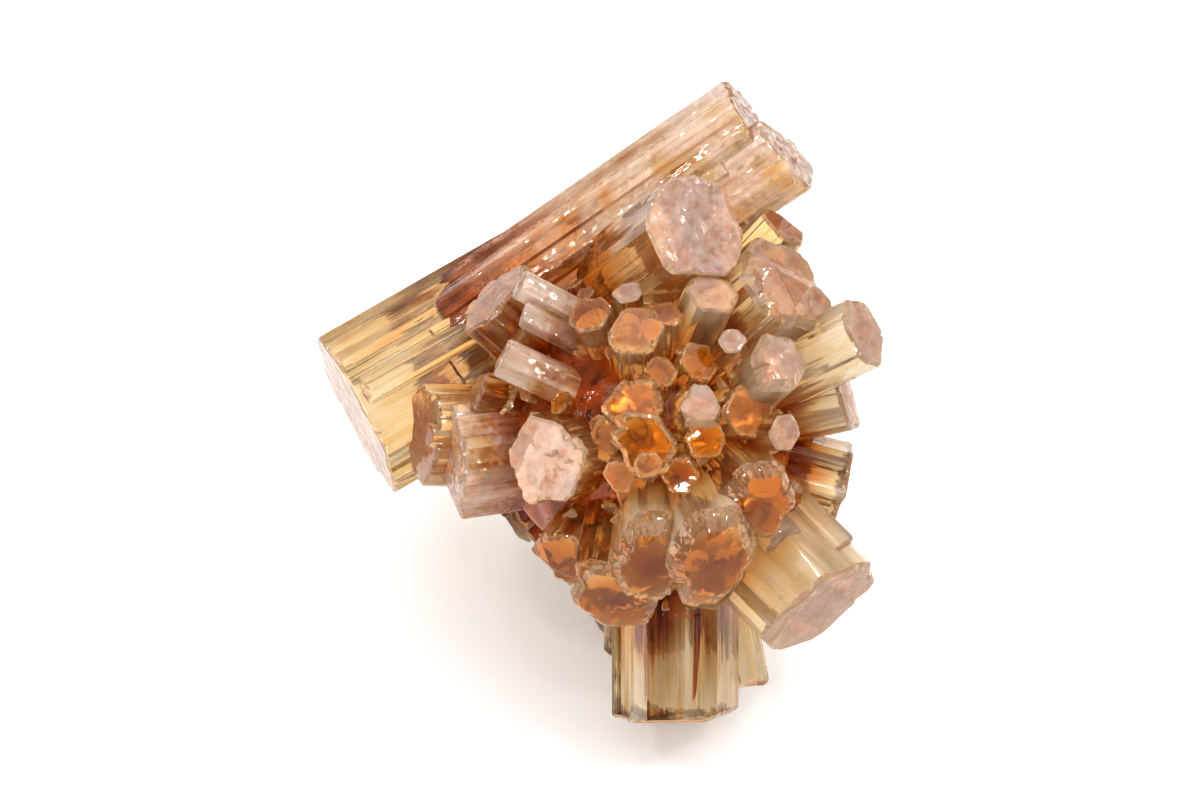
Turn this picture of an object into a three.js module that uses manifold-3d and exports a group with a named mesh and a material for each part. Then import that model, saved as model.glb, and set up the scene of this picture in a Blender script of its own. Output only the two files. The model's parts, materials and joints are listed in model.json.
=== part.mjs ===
// Aragonite cluster: stout six-sided prisms that grew out of one heart in all directions, fused in one solid.
// Millimetres, +Z up, standing on the flat end of the crystal below it.
import * as THREE from 'three';
import { mergeVertices } from 'three/addons/utils/BufferGeometryUtils.js';
import Module from 'manifold-3d';

// Driving dimensions
const VIEW_ELEVATION = 45; // degrees above the horizon: the picture plane that the crystals are placed in
const HEART_HEIGHT = 19.6; // the heart's middle above the surface the cluster rests on
const HEART_RADIUS = 11; // where the crystals' roots have grown into each other
const FLOOR_GAP = 0.15; // least height of a hidden crystal's rim above the surface

// A crystal's form. Shares are of its width, of one side or of the sixth of a turn between two corners.
const RIM_CHAMFER = 0.25; // worn edge round every crystal's flat end
const RIM_CHAMFER_SHARE = 0.06; // and the most that it takes of a thin crystal's width
const CORNER_SWING = 0.14; // how unevenly the six corners are spaced
const CORNER_SHARE = 0.08; // how unevenly they reach out
const CORNER_TRIM = 0.12; // how much of each side a trimmed corner takes away
const STOUT_WIDTH = 5; // crystals wider than this have trimmed corners and growth ledges
const LEDGE_SHARE = 0.035; // depth of a growth ledge
const LEDGE_SLOPE = 0.06; // run of the ledge's riser
const LEDGE_PLACE = 0.45; // where along a side a ledge lies, and how much that varies
const LEDGE_SWING = 0.2;
const LEDGE_ABOVE = 0.2; // sides whose own value passes this have a ledge

// Crystals that show. tip and root are [right, up, toward the viewer] from the heart in the picture plane,
// root is the heart's middle unless given, width is across the corners, stretch widens the outline
// [sideways, upwards] and turn rolls it, in degrees.
const SEEN = [
  // the long pair across the back, and what stands on it
  { tip: [-22.5, 1.2, -4], root: [-1, 12, -7.4], width: 14 }, // pale prism, far left
  { tip: [8.2, 23.7, 1], root: [-10.4, 12.2, 0], width: 8.4 }, // bar, upper right, in two steps
  { tip: [11, 21.1, 3], root: [-9.6, 7.8, 2], width: 7.4 },
  { tip: [3.8, 15.3, 13], root: [-1.5, 11.5, 0], width: 9.2 }, // broad disc-like end
  { tip: [10.6, 15.9, 6], root: [3, 8, 0], width: 4 }, // small corner beside the bar
  // the right side, from top to bottom
  { tip: [10.6, 11.5, 10.5], root: [1, 3, 0], width: 9.4 }, // clear golden block
  { tip: [16.2, 7.7, 9.8], width: 6.6 }, // round end, right
  { tip: [15.2, 3.2, 4.5], width: 7 },
  { tip: [15.4, -3.8, 1.5], width: 7.2 }, // striped prism, right
  { tip: [13.2, -13.3, 8], width: 11 }, // broad prism, lower right
  { tip: [8.5, -5.2, 15.3], root: [3, 0, 3], width: 7.4 }, // orange end
  // the lower side
  { tip: [4.8, -9.8, 16.2], width: 7.8, stretch: [0.95, 1.25] }, // twin ends, larger
  { tip: [0, -9.8, 15.8], width: 6.2, stretch: [1, 1.15] }, // twin ends, smaller
  { tip: [2.4, -21.7, -1], root: [2.4, 0, -1], width: 11 }, // pale striped prism, bottom
  { tip: [7.6, -19.4, -3.4], root: [4, 0, -3], width: 3.6 },
  { tip: [-2.6, -12.5, 13], width: 7.6, stretch: [1, 1.2] },
  { tip: [-6.6, -9.4, 10.5], width: 6 },
  // the left side
  { tip: [-8, -2.1, 13.5], width: 7.4 }, // bright end
  { tip: [-15.2, -2.2, 5.4], width: 9.6, turn: 30 }, // block, left
  { tip: [-17.4, 0.2, 3.2], root: [0, 0, -1], width: 9, turn: 30 },
  { tip: [-12, 10.2, 5], width: 7.6 },
  { tip: [-13.3, 3.3, 6], width: 4 },
  { tip: [-10.5, 7.3, 8], width: 3 },
  { tip: [-9.2, 11.4, 10], width: 2.9 }, // laths
  { tip: [-9.7, 9.2, 10.6], width: 2.6 },
  { tip: [-11, 5.4, 11.4], width: 3 },
  // stubs round the middle
  { tip: [-1.2, 2.2, 18], width: 4.6 },
  { tip: [-0.7, -0.7, 18.4], width: 5 },
  { tip: [-0.2, -2.2, 18.8], width: 2.4 },
  { tip: [3.7, 2.5, 17.8], root: [3.9, -3, 4], width: 3.4 }, // pale hexagon
  { tip: [4.2, -0.4, 16.4], width: 3.6 },
  { tip: [0.8, 4.7, 16.2], width: 3 },
  { tip: [3.8, 5.5, 15], width: 3.6 },
  { tip: [6.2, 7, 15.4], width: 2.4 },
  { tip: [9.8, 5.5, 15], root: [4, 0, 2], width: 5.4 }, // white-topped stub
  { tip: [10.2, 0.2, 14.5], width: 3.4 },
  { tip: [7.4, 1.8, 14], width: 4.8 },
  { tip: [-2.2, -3.1, 16.6], width: 3 },
  { tip: [2.2, -2.9, 16], width: 3.4 },
  { tip: [-1, 7.8, 15.4], root: [0, 1, 3], width: 4.6 },
  { tip: [1.2, 9.2, 14.2], width: 3.2 },
  { tip: [4.5, 10.6, 13.4], width: 4.8 },
  { tip: [-4.5, 9.2, 12.6], width: 4 },
  { tip: [-1.6, 10.6, 13.6], width: 2.6 },
];

// Crystals behind the long pair, in the same terms
const BEHIND = [
  { tip: [-5.5, 13.5, -15], root: [-4, 10, -2], width: 7 },
  { tip: [2.5, 17, -11], root: [-2, 11, -2], width: 7.4 },
  { tip: [-13, 9.5, -15.5], root: [-6, 9, -2], width: 6.4 },
  { tip: [-1, 7.5, -18], root: [-3, 8, -2], width: 6 },
  { tip: [8, 12, -11], root: [-1, 8, -1], width: 6.2 },
  { tip: [-16.5, 4, -14], root: [-6, 7, -3], width: 5.4 },
];

// Crystals of the hidden back, spread evenly over it
const HIDDEN_COUNT = 18;
const HIDDEN_FROM = -0.42; // the cap's edge and pole, as the share of a direction that points at the viewer
const HIDDEN_TO = -0.98;
const HIDDEN_REACH = 19; // length, and the share that it varies by
const HIDDEN_REACH_SWING = 0.1;
const HIDDEN_SPREAD = 14; // furthest that one shows past the heart in the picture plane
const HIDDEN_WIDTH = 8; // width, and the share that it varies by
const HIDDEN_WIDTH_SWING = 0.2;
const GOLDEN_ANGLE = Math.PI * (3 - Math.sqrt(5));

// The crystal that the cluster stands on points straight down
const FOOT_WIDTH = 12;

const wasm = await Module();
wasm.setup();

// From the picture plane to the part's frame, and straight down as the picture plane sees it
const toUpright = new THREE.Matrix4().makeRotationX(THREE.MathUtils.degToRad(90 - VIEW_ELEVATION));
const down = new THREE.Vector3(0, 0, -1).transformDirection(toUpright.clone().invert());

// Values spread between -1 and 1, the same on every run: one for each crystal, feature and step along it
const FEATURES = { spacing: 0, reach: 3, ledge: 5, place: 7, width: 11, length: 13 };
const STRIDE = { crystal: 2.3, step: 1.9, both: 0.7 };
function vary(seed, feature, step = 1) {
  const place = seed + FEATURES[feature];
  return Math.sin(STRIDE.crystal * place + STRIDE.step * step + STRIDE.both * place * step);
}

// A crystal's outline: six corners of uneven reach. A stout crystal's corners are trimmed,
// and it has a growth ledge along some of the sides between them.
function outline({ width, stretch = [1, 1], turn = 0 }, seed) {
  const corners = [];
  for (let k = 0; k < 6; k++) {
    const sixths = k + CORNER_SWING * vary(seed, 'spacing', k);
    const angle = sixths * Math.PI / 3 + THREE.MathUtils.degToRad(turn);
    const reach = (width / 2) * (1 - CORNER_SHARE + CORNER_SHARE * vary(seed, 'reach', k));
    const corner = new THREE.Vector2(Math.cos(angle), Math.sin(angle)).multiplyScalar(reach);
    corners.push(corner.multiply(new THREE.Vector2(...stretch)));
  }
  if (width < STOUT_WIDTH) return new THREE.Shape(corners);
  const points = [];
  corners.forEach((corner, k) => {
    const next = corners[(k + 1) % 6];
    const along = (share) => corner.clone().lerp(next, share);
    points.push(along(CORNER_TRIM));
    if (vary(seed, 'ledge', k) > LEDGE_ABOVE) {
      const place = LEDGE_PLACE + LEDGE_SWING * vary(seed, 'place', k);
      const inward = corner.clone().add(next).normalize().multiplyScalar(-LEDGE_SHARE * width);
      points.push(along(place), along(place + LEDGE_SLOPE).add(inward));
    }
    points.push(along(1 - CORNER_TRIM));
  });
  return new THREE.Shape(points);
}

// A closed geometry as a solid to join
function solidOf(geometry) {
  geometry.deleteAttribute('normal');
  geometry.deleteAttribute('uv');
  const merged = mergeVertices(geometry);
  return new wasm.Manifold(new wasm.Mesh({
    numProp: 3,
    vertProperties: merged.attributes.position.array,
    triVerts: new Uint32Array(merged.index.array),
  }));
}

// One prism from root to tip, flat at both ends
function crystal(one, seed) {
  const { tip, root = [0, 0, 0], width } = one;
  const from = new THREE.Vector3(...root);
  const axis = new THREE.Vector3(...tip).sub(from);
  const chamfer = Math.min(RIM_CHAMFER, width * RIM_CHAMFER_SHARE);
  const geometry = new THREE.ExtrudeGeometry(outline(one, seed), {
    depth: axis.length() - 2 * chamfer,
    bevelThickness: chamfer,
    bevelSize: chamfer,
    bevelOffset: -chamfer,
    bevelSegments: 1,
  });
  geometry.translate(0, 0, chamfer);
  geometry.applyQuaternion(new THREE.Quaternion().setFromUnitVectors(
    new THREE.Vector3(0, 0, 1), axis.normalize()));
  geometry.translate(...root);
  return solidOf(geometry);
}

// How long a crystal from the heart may be before its rim comes down to the surface
function reachAboveFloor(direction, width) {
  const fall = direction.dot(down);
  if (fall <= 0) return Infinity;
  const rimDrop = (width / 2) * Math.sqrt(1 - fall * fall);
  return (HEART_HEIGHT - FLOOR_GAP - rimDrop) / fall;
}

// The hidden crystals: directions on a spiral over the back
function hiddenCrystals() {
  return Array.from({ length: HIDDEN_COUNT }, (_, i) => {
    const toward = THREE.MathUtils.lerp(HIDDEN_FROM, HIDDEN_TO, i / (HIDDEN_COUNT - 1));
    const across = Math.sqrt(1 - toward * toward);
    const angle = i * GOLDEN_ANGLE;
    const direction = new THREE.Vector3(across * Math.cos(angle), across * Math.sin(angle), toward);
    const width = HIDDEN_WIDTH * (1 + HIDDEN_WIDTH_SWING * vary(i, 'width'));
    const spread = (HIDDEN_SPREAD - (width / 2) * -toward) / across;
    const grown = HIDDEN_REACH * (1 + HIDDEN_REACH_SWING * vary(i, 'length'));
    const reach = Math.min(grown, spread, reachAboveFloor(direction, width));
    return { tip: direction.multiplyScalar(reach).toArray(), width };
  });
}

// All the crystals, joined. Only the outside is kept of any gap that the roots have closed round.
function cluster() {
  const foot = { tip: down.clone().multiplyScalar(HEART_HEIGHT).toArray(), width: FOOT_WIDTH };
  const heart = solidOf(new THREE.IcosahedronGeometry(HEART_RADIUS, 1));
  const crystals = [...SEEN, ...BEHIND, ...hiddenCrystals(), foot].map(crystal);
  const joined = crystals.reduce((all, one) => all.add(one), heart);
  const bodies = joined.decompose();
  const outside = bodies.reduce((most, body) => (body.volume() > most.volume() ? body : most));
  const { vertProperties, triVerts } = outside.getMesh();
  const geometry = new THREE.BufferGeometry();
  geometry.setAttribute('position', new THREE.BufferAttribute(vertProperties, 3));
  geometry.setIndex(new THREE.BufferAttribute(triVerts, 1));
  return geometry;
}

const aragonite = new THREE.MeshStandardMaterial({ color: 0xc98a4b, roughness: 0.35, metalness: 0 });

const mesh = new THREE.Mesh(cluster(), aragonite);
mesh.name = 'aragonite_cluster';
mesh.setRotationFromMatrix(toUpright);

// The origin is under the middle of the cluster's box, on the surface it rests on
const box = new THREE.Box3().setFromObject(mesh, true);
const middle = box.getCenter(new THREE.Vector3());
mesh.position.set(-middle.x, -middle.y, -box.min.z);

const part = new THREE.Group();
part.add(mesh);

export default part;
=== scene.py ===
import json
import math

import bmesh
import bpy
import numpy as np
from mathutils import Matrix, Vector, noise
from mathutils.geometry import delaunay_2d_cdt

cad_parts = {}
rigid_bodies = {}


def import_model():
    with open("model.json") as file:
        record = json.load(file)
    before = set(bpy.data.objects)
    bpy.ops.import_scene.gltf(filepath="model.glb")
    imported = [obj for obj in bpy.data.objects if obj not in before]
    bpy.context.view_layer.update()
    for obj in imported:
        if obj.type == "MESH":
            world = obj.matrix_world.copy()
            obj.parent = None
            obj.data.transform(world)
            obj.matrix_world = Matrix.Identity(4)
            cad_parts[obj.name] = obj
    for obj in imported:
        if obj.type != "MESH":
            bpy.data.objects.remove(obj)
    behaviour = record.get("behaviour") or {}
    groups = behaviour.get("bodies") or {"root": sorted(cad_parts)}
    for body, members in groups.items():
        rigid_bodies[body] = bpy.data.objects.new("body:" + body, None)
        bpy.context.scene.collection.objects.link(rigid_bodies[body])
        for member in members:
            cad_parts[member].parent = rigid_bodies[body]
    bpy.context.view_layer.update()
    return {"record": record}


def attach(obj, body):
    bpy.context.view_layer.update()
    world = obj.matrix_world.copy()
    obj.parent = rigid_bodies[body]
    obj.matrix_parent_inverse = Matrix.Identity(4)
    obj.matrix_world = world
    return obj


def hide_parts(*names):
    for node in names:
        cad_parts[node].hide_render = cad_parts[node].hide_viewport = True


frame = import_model()
mm = 0.001  # sizes below are in millimetres
print("frame loaded")

# How the cluster grew: the picture plane that the crystals are placed in, and the heart they grew from
growth = {
    "viewElevation": 45,  # degrees above the horizon
    "heartHeight": 19.6,
    "heartRadius": 11,
    "floorGap": 0.15,  # least height of a hidden crystal's rim above the surface
}

# A crystal's outline, in shares of its width, of one side or of the sixth of a turn between two corners
form = {
    "cornerSwing": 0.14,
    "cornerShare": 0.08,
    "cornerTrim": 0.12,
    "stoutWidth": 5,
    "ledgeShare": 0.035,
    "ledgeSlope": 0.06,
    "ledgePlace": 0.45,
    "ledgeSwing": 0.2,
    "ledgeAbove": 0.2,
    "facingLean": 0.2,  # how far up a side that faces the viewer leans
}

# Crystals that show: tip and root are (right, up, toward the viewer) from the heart, and side and end name
# their looks
seen = [
    # the long pair across the back, and what stands on it
    {"tip": (-22.5, 1.2, -4), "root": (-1, 13.6, -7.4), "width": 14, "twoEnds": True,
     "side": "straw", "end": "rose"},
    {"tip": (8.2, 23.5, 1), "root": (-14.5, 8, -4), "width": 8.4, "facing": True, "twoEnds": True,
     "side": "sugary", "end": "honey"},
    {"tip": (11, 21.1, 3), "root": (-11.5, 6.2, -3.5), "width": 7.4, "facing": True, "twoEnds": True,
     "side": "sugary", "end": "rose"},
    {"tip": (3.8, 15.3, 13), "root": (-1.5, 11.5, 0), "width": 9.2, "round": 0.75,
     "facets": [(20, 0.3, 1.1)], "side": "honey", "end": "frost"},
    {"tip": (10.2, 15.7, 6), "root": (3, 8, 0), "width": 4.8, "side": "honey", "end": "honey"},
    # the right side, from top to bottom
    {"tip": (10.6, 11.5, 10.5), "root": (1, 3, 0), "width": 9.4, "rim": 0.6, "round": 0.3,
     "facets": [(75, 0.02, 0.35), (200, 0.12, 0.45), (-40, 0.15, 0.5)], "side": "cream", "end": "rose"},
    {"tip": (16.2, 7.7, 9.8), "width": 6.6, "round": 0.7, "side": "cream", "end": "rose"},
    {"tip": (15.2, 3.2, 4.5), "width": 7, "side": "cream", "end": "rose"},
    {"tip": (15.4, -3.8, 1.5), "width": 7.2, "side": "cream", "end": "honey"},
    {"tip": (13.2, -13.3, 8), "width": 11, "side": "cream", "end": "rose"},
    {"tip": (8.5, -5.2, 15.3), "root": (3, 0, 3), "width": 7.4, "rim": 0.9, "round": 0.3,
     "side": "honey", "end": "amber"},
    # the lower side
    {"tip": (4.8, -9.8, 16.2), "width": 8.2, "stretch": (0.95, 1.5), "rim": 1.1, "round": 0.3,
     "side": "cream", "end": "amber"},
    {"tip": (0, -9.8, 15.8), "width": 6.6, "stretch": (1, 1.35), "rim": 1, "round": 0.3,
     "side": "cream", "end": "amber"},
    {"tip": (2.4, -21.7, -1), "root": (2.4, 0, -1), "width": 11, "side": "streaked", "end": "honey"},
    {"tip": (7.6, -19.4, -3.4), "root": (4, 0, -3), "width": 3.6, "side": "straw", "end": "honey"},
    {"tip": (-2.6, -12.5, 13), "width": 7.6, "stretch": (1, 1.2), "rim": 0.7, "round": 0.3,
     "side": "honey", "end": "amber"},
    {"tip": (-6.6, -9.4, 10.5), "width": 6, "side": "honey", "end": "amber"},
    # the left side
    {"tip": (-8, -2.1, 13.5), "width": 7.8, "facets": [(-30, 0.08, 0.16), (150, 0.2, 0.25)],
     "side": "honey", "end": "frost"},
    {"tip": (-15.2, -2.2, 5.4), "width": 9.6, "turn": 30, "side": "sugary", "end": "frost"},
    {"tip": (-17.4, 0.2, 3.2), "root": (0, 0, -1), "width": 9, "turn": 30, "side": "russet", "end": "honey"},
    {"tip": (-12, 10.2, 5), "width": 7.6, "side": "russet", "end": "honey"},
    {"tip": (-13.3, 3.3, 6), "width": 4, "side": "honey", "end": "honey"},
    {"tip": (-10.5, 7.3, 8), "width": 3, "side": "honey", "end": "honey"},
    # three laths over the left valley
    {"tip": (-9.7, 11.2, 9.6), "root": (-0.2, 6.2, 8), "width": 2.7, "facing": True, "flat": 0.7,
     "side": "rosy", "end": "frost"},
    {"tip": (-9.6, 9.2, 10), "root": (0, 4.2, 8), "width": 2.4, "facing": True, "flat": 0.7,
     "side": "rosy", "end": "frost"},
    {"tip": (-11, 5.8, 11), "root": (0, 0.8, 8.6), "width": 3.2, "facing": True, "flat": 0.7,
     "side": "rosy", "end": "frost"},
    # stubs round the middle
    {"tip": (-1.2, 2.2, 18), "width": 5.2, "rim": 0.35, "side": "honey", "end": "amber"},
    {"tip": (-0.4, -0.6, 18.4), "width": 5.6, "rim": 0.4, "side": "honey", "end": "amber"},
    {"tip": (-0.2, -2.2, 18.8), "width": 2.4, "side": "honey", "end": "honey"},
    {"tip": (3.7, 2.5, 17.8), "root": (3.9, -3, 4), "width": 3.4, "side": "cream", "end": "frost"},
    {"tip": (4.2, -0.4, 16.4), "width": 3.6, "side": "honey", "end": "amber"},
    {"tip": (0.8, 4.7, 16.2), "width": 3, "side": "honey", "end": "amber"},
    {"tip": (3.8, 5.5, 15), "width": 3.6, "side": "honey", "end": "amber"},
    {"tip": (6.2, 7, 15.4), "width": 2.4, "side": "honey", "end": "frost"},
    {"tip": (9.8, 5.5, 15), "root": (4, 0, 2), "width": 5.4, "rim": 0.7, "side": "cream", "end": "frost"},
    {"tip": (10.2, 0.2, 14.5), "width": 3.4, "side": "honey", "end": "frost"},
    {"tip": (7.4, 1.8, 14), "width": 4.8, "side": "honey", "end": "honey"},
    {"tip": (-2.2, -3.1, 16.6), "width": 3, "side": "honey", "end": "honey"},
    {"tip": (2.25, -2.95, 16.6), "root": (1.4, 0, 2), "width": 3.4, "side": "russet", "end": "amber"},
    {"tip": (-1, 7.8, 15.4), "root": (0, 1, 3), "width": 4.6, "side": "honey", "end": "honey"},
    {"tip": (1.2, 9.2, 14.2), "width": 3.2, "side": "honey", "end": "honey"},
    {"tip": (4.5, 10.6, 13.4), "width": 4.8, "side": "cream", "end": "rose"},
    {"tip": (-4.5, 9.2, 12.6), "width": 4, "side": "russet", "end": "honey"},
    {"tip": (-1.6, 10.6, 13.6), "width": 2.6, "side": "honey", "end": "frost"},
]

# Crystals behind the long pair
behind = [
    {"tip": (-5.5, 13.5, -15), "root": (-4, 10, -2), "width": 7, "side": "honey", "end": "rose"},
    {"tip": (2.5, 17, -11), "root": (-2, 11, -2), "width": 7.4, "side": "straw", "end": "frost"},
    {"tip": (-13, 9.5, -15.5), "root": (-6, 9, -2), "width": 6.4, "side": "honey", "end": "honey"},
    {"tip": (-1, 7.5, -18), "root": (-3, 8, -2), "width": 6, "side": "straw", "end": "rose"},
    {"tip": (8, 12, -11), "root": (-1, 8, -1), "width": 6.2, "side": "honey", "end": "amber"},
    {"tip": (-16.5, 4, -14), "root": (-6, 7, -3), "width": 5.4, "side": "russet", "end": "honey"},
]

# Crystals of the hidden back, on a spiral over it, and the one that the cluster stands on
hidden = {
    "count": 18,
    "from": -0.42,  # the cap's edge and pole, as the share of a direction that points at the viewer
    "to": -0.98,
    "reach": 19,
    "reachSwing": 0.1,
    "spread": 14,
    "width": 8,
    "widthSwing": 0.2,
    "footWidth": 12,
    "footUneven": 0.24,  # the foot's uneven end falls this much short of its reach
    "looks": [("honey", "rose"), ("straw", "amber"), ("honey", "frost"), ("russet", "honey"),
              ("straw", "rose")],
}
goldenAngle = math.pi * (3 - math.sqrt(5))

slope = math.radians(90 - growth["viewElevation"])
upright = np.array([  # from the picture plane to the part's frame
    [1, 0, 0],
    [0, math.cos(slope), -math.sin(slope)],
    [0, math.sin(slope), math.cos(slope)],
])
down = upright.T @ np.array([0, 0, -1])
restFace = frame["record"]["mounts"][0]["pos_m"]  # the foot's flat end, straight under the heart
heart = np.array([restFace[0] / mm, restFace[1] / mm, growth["heartHeight"]])

# Values spread between -1 and 1, the same on every run
features = {"spacing": 0, "reach": 3, "ledge": 5, "place": 7, "width": 11, "length": 13}
stride = {"crystal": 2.3, "step": 1.9, "both": 0.7}


def vary(seed, feature, step=1):
    place = seed + features[feature]
    return math.sin(stride["crystal"] * place + stride["step"] * step + stride["both"] * place * step)


def lerp(a, b, share):
    return a + (b - a) * share


def unit(v):
    return v / np.linalg.norm(v)


def reachAboveFloor(direction, width):
    fall = direction @ down
    if fall <= 0:
        return math.inf
    rimDrop = width / 2 * math.sqrt(1 - fall * fall)
    return (growth["heartHeight"] - growth["floorGap"] - rimDrop) / fall


def heading(angle):
    return np.array([math.cos(angle), math.sin(angle)])


# The direction of one of many crystals spread evenly on a spiral, and how much of it lies across the view
def spiralDirection(i, toward):
    across = math.sqrt(1 - toward * toward)
    return np.append(heading(i * goldenAngle) * across, toward), across


def hiddenCrystals():
    found = []
    for i in range(hidden["count"]):
        toward = lerp(hidden["from"], hidden["to"], i / (hidden["count"] - 1))
        direction, across = spiralDirection(i, toward)
        width = hidden["width"] * (1 + hidden["widthSwing"] * vary(i, "width"))
        spread = (hidden["spread"] + width / 2 * toward) / across
        grown = hidden["reach"] * (1 + hidden["reachSwing"] * vary(i, "length"))
        reach = min(grown, spread, reachAboveFloor(direction, width))
        side, end = hidden["looks"][i % len(hidden["looks"])]
        found.append({"tip": direction * reach, "width": width, "side": side, "end": end})
    footReach = growth["heartHeight"] + hidden["footUneven"]
    foot = {"tip": down * footReach, "width": hidden["footWidth"], "side": "straw", "end": "honey"}
    return found + [foot]


# Where a crystal begins, its direction and its length
def spanOf(crystal):
    root = np.array(crystal.get("root", (0, 0, 0)), float)
    span = np.array(crystal["tip"], float) - root
    length = np.linalg.norm(span)
    return root, span / length, length


def turnOf(crystal):
    axis = spanOf(crystal)[1]
    return np.array(Vector((0, 0, 1)).rotation_difference(Vector(axis)).to_matrix())


# The six corners of a crystal with trimmed edges and growth ledges, and the side that each point begins
def outlineOf(crystal, seed):
    corners = []
    swing = math.radians(crystal.get("turn", 0))
    if crystal.get("facing"):  # a flat side faces the viewer
        facing = turnOf(crystal).T @ (0, form["facingLean"], 1)
        swing = math.atan2(facing[1], facing[0]) - math.pi / 6
    for k in range(6):
        sixths = k + form["cornerSwing"] * vary(seed, "spacing", k)
        share = 1 - form["cornerShare"] + form["cornerShare"] * vary(seed, "reach", k)
        reach = crystal["width"] / 2 * share
        stretch = np.array(crystal.get("stretch", (1, 1)))
        corners.append(heading(sixths * math.pi / 3 + swing) * reach * stretch)
    trim = form["cornerTrim"]
    if crystal.get("flat"):  # a lath, pressed in towards the side that faces the viewer
        facing = unit(facing[:2])
        corners = [corner - facing * (corner @ facing) * (1 - crystal["flat"]) for corner in corners]
        trim *= crystal["flat"] / 2
    points, sides = [], []
    for k, corner in enumerate(corners):
        after = corners[(k + 1) % 6]
        line = [lerp(corner, after, trim)]
        if crystal["width"] > form["stoutWidth"] and vary(seed, "ledge", k) > form["ledgeAbove"]:
            place = form["ledgePlace"] + form["ledgeSwing"] * vary(seed, "place", k)
            inward = unit(corner + after) * -form["ledgeShare"] * crystal["width"]
            line += [lerp(corner, after, place), lerp(corner, after, place + form["ledgeSlope"]) + inward]
        line.append(lerp(corner, after, 1 - trim))
        points += line
        sides += [k] * (len(line) - 1) + [6 + k]  # the trimmed edge after side k
    return np.array(points), sides


# Where the series of random draws begin
seeds = {"crystals": 1000, "small": 200, "companions": 5000, "druses": 77, "tones": 9}


def closedNoise(rng, length, every):
    knots = max(4, round(length / every))
    values = rng.uniform(-1, 1, knots)
    ring = np.append(values, values[0])
    return lambda way: np.interp(way / length * knots % knots, np.arange(knots + 1), ring)


# Points at even spacing round an outline, the side each lies on and its way round
def strand(points, sides, spacing):
    fine, sideOf = [], []
    for here, after, side in zip(points, np.roll(points, -1, axis=0), sides):
        pieces = max(1, round(np.linalg.norm(after - here) / spacing))
        for i in range(pieces):
            fine.append(lerp(here, after, i / pieces))
            sideOf.append(side)
    fine = np.array(fine)
    steps = np.linalg.norm(np.roll(fine, -1, axis=0) - fine, axis=1)
    return fine, np.array(sideOf), np.concatenate([[0], np.cumsum(steps)[:-1]]), steps.sum()


def wayBetween(way, spot, perimeter):
    return np.abs((way - spot + perimeter / 2) % perimeter - perimeter / 2)


def insideOf(points, ring):
    x, y = points[:, 0, None], points[:, 1, None]
    x0, y0 = ring[:, 0], ring[:, 1]
    x1, y1 = np.roll(x0, -1), np.roll(y0, -1)
    crosses = (y0 > y) != (y1 > y)
    rise = np.where(y1 == y0, 1, y1 - y0)
    left = x < x0 + (y - y0) / rise * (x1 - x0)
    return (crosses & left).sum(axis=1) % 2 == 1


# The flat end of a crystal: ledges and facets across it, in millimetres and in shares of its width
flatEnd = {
    "terraceDrop": (0.04, 0.18),
    "terraceRun": 0.1,
    "terracePlace": (0.12, 0.4),
    "terraceSwing": 0.1,  # radians off the prism's own directions
    "terraceFull": 7,  # slimmer crystals have lower ledges
    "facetPlace": (0.18, 0.4),
    "facetFall": (0.15, 0.6),
    "facetSwing": 8,  # degrees
    "facetReach": 1.2,
    "dome": 0.12,
    "domeFull": 6,
    "slimTilt": 7,  # degrees
    "stoutTilt": 3,
    "hillock": 0.05,
    "hillockSize": 1.3,
    "hillockSpan": 50,  # how far apart the ends lie in the noise that makes the hillocks
    "gap": 0.55,  # between the points that make the end
    "jitter": 0.3,  # shares of that gap
    "creaseStep": 0.6,
    "creaseClear": 0.3,
    "creaseReach": 1.5,
    "inner": 0.93,  # share of the rim that the points keep within
    "merge": 1e-5,
}


# Straight ledges, tilted facets (angle, place across the end, fall) and low hillocks: their creases, and how
# far the end lies under its highest level at a point
def makeTerraces(width, rng, given=()):
    stout = width > form["stoutWidth"]
    ledges = []
    for i in range(rng.integers(1, 3) if stout else rng.integers(0, 2)):
        angle = rng.integers(6) * math.pi / 3 + rng.normal(0, flatEnd["terraceSwing"])
        drop = rng.uniform(*flatEnd["terraceDrop"]) * min(1, width / flatEnd["terraceFull"])
        ledges.append((heading(angle), rng.uniform(*flatEnd["terracePlace"]) * width, drop))
    facets = list(given)
    for i in range(rng.integers(0, 3)):
        angle = rng.integers(6) * 60 + rng.normal(0, flatEnd["facetSwing"])
        facets.append((angle, rng.uniform(*flatEnd["facetPlace"]), rng.uniform(*flatEnd["facetFall"])))
    facets = [(heading(math.radians(angle)), place * width, fall) for angle, place, fall in facets]
    dome = rng.uniform(0, flatEnd["dome"]) * min(1, width / flatEnd["domeFull"])
    tilt = rng.normal(0, math.radians(flatEnd["stoutTilt" if stout else "slimTilt"]), 2)
    shift = rng.uniform(-flatEnd["hillockSpan"], flatEnd["hillockSpan"], 2)

    def depthAt(points):
        depth = dome * (points ** 2).sum(axis=1) / (width / 2) ** 2
        depth = depth + points @ tilt + np.linalg.norm(tilt) * width / 2
        for direction, offset, drop in ledges:
            depth += drop * np.clip((points @ direction - offset) / flatEnd["terraceRun"] + 0.5, 0, 1)
        for direction, offset, fall in facets:
            depth += fall * np.clip(points @ direction - offset, 0, flatEnd["facetReach"])
        spots = points / flatEnd["hillockSize"]
        hills = np.array([noise.noise((x + shift[0], y, shift[1])) for x, y in spots])
        return depth + flatEnd["hillock"] * (1 + hills)

    creases = []
    for direction, offset, drop in ledges:
        creases += [(direction, offset + edge * flatEnd["terraceRun"]) for edge in (-0.5, 0.5)]
    creases += [(direction, offset) for direction, offset, fall in facets]
    return creases, depthAt


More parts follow.
